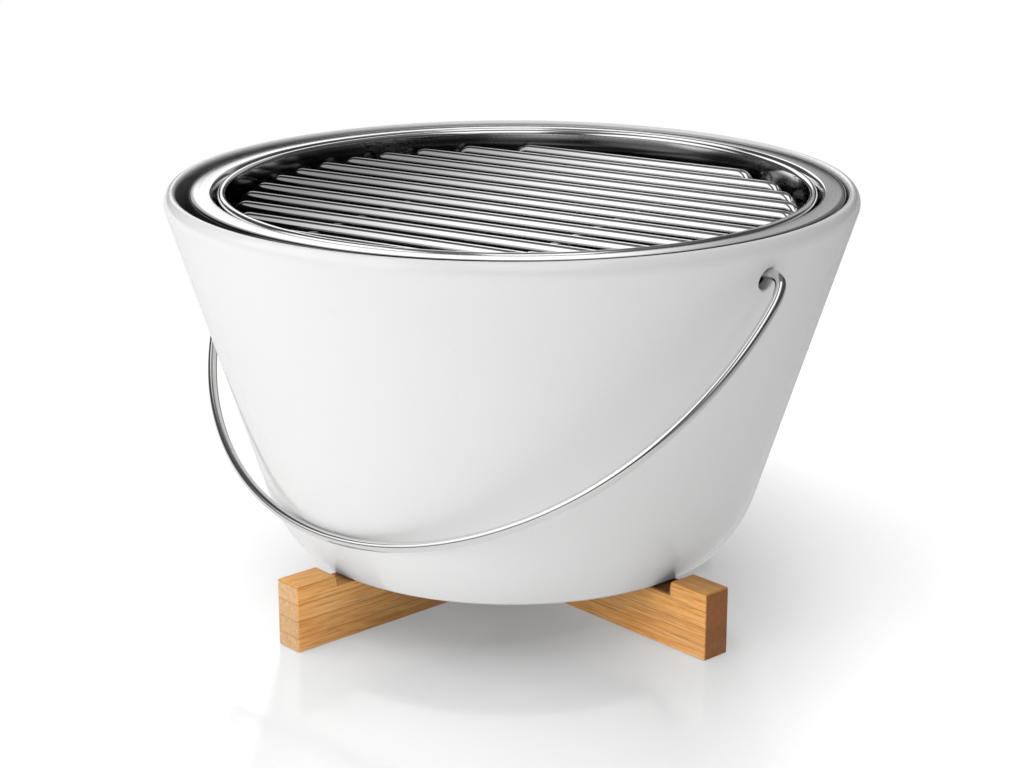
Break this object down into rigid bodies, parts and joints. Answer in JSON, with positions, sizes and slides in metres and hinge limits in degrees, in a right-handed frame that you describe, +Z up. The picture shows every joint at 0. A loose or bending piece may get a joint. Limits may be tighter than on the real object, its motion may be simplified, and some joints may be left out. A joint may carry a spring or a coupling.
{
  "type": "portable tabletop grill",
  "caption": "Round tabletop charcoal grill: white porcelain bucket with a wire handle, polished steel liner and rod grate, standing on a wooden cross trivet.",
  "frame": {"origin": "centre of the trivet's underside, on the table", "axes": "+Z up out of the grill, +X along the handle's pivot axis; the handle hangs towards -Y"},
  "size_m": [0.3194, 0.3, 0.1825],
  "materials": {
    "porcelain": "gloss, white glaze",
    "polished_steel": "mirror polished stainless steel",
    "satin_steel": "satin stainless steel sheet and bar",
    "bamboo": "oiled, laminated bamboo",
    "silicone": "matte, black"
  },
  "bodies": {
    "trivet_base": {"trivet_bar_lower": "bamboo"},
    "trivet_top": {"trivet_bar_upper": "bamboo"},
    "bowl": {"outer_bowl": "porcelain", "handle_washer_right": "silicone", "handle_washer_left": "silicone"},
    "handle": {"bail_handle": "polished_steel", "handle_cap_right": "polished_steel", "handle_cap_left": "polished_steel"},
    "liner": {"fire_liner": "polished_steel", "support_lugs": "satin_steel", "shield_spacers": "satin_steel", "heat_shield": "satin_steel", "liner_feet": "satin_steel", "foot_screws": "satin_steel", "foot_pads": "silicone"},
    "ember": {"ember_bowl": "polished_steel"},
    "coal_grate": {"charcoal_grate": "satin_steel", "charcoal_grate_feet": "satin_steel"},
    "cooking_grate": {"grate_rods": "polished_steel", "grate_cross_bars": "polished_steel"}
  },
  "joints": [
    {"name": "trivet_bar_lift", "type": "slide", "parent": "trivet_base", "child": "trivet_top", "axis": [0, 0, 1], "range_m": [0, 0.05]},
    {"name": "bowl_lift", "type": "slide", "parent": "trivet_top", "child": "bowl", "axis": [0, 0, 1], "range_m": [0, 0.12]},
    {"name": "handle_swing", "type": "hinge", "parent": "bowl", "child": "handle", "pos_m": [0, 0, 0.1681], "axis": [-1, 0, 0], "range_deg": [0, 273]},
    {"name": "liner_lift", "type": "slide", "parent": "bowl", "child": "liner", "axis": [0, 0, 1], "range_m": [0, 0.15]},
    {"name": "ember_bowl_lift", "type": "slide", "parent": "liner", "child": "ember", "axis": [0, 0, 1], "range_m": [0, 0.12]},
    {"name": "charcoal_grate_lift", "type": "slide", "parent": "ember", "child": "coal_grate", "axis": [0, 0, 1], "range_m": [0, 0.05]},
    {"name": "cooking_grate_lift", "type": "slide", "parent": "ember", "child": "cooking_grate", "axis": [0, 0, 1], "range_m": [0, 0.12]}
  ]
}
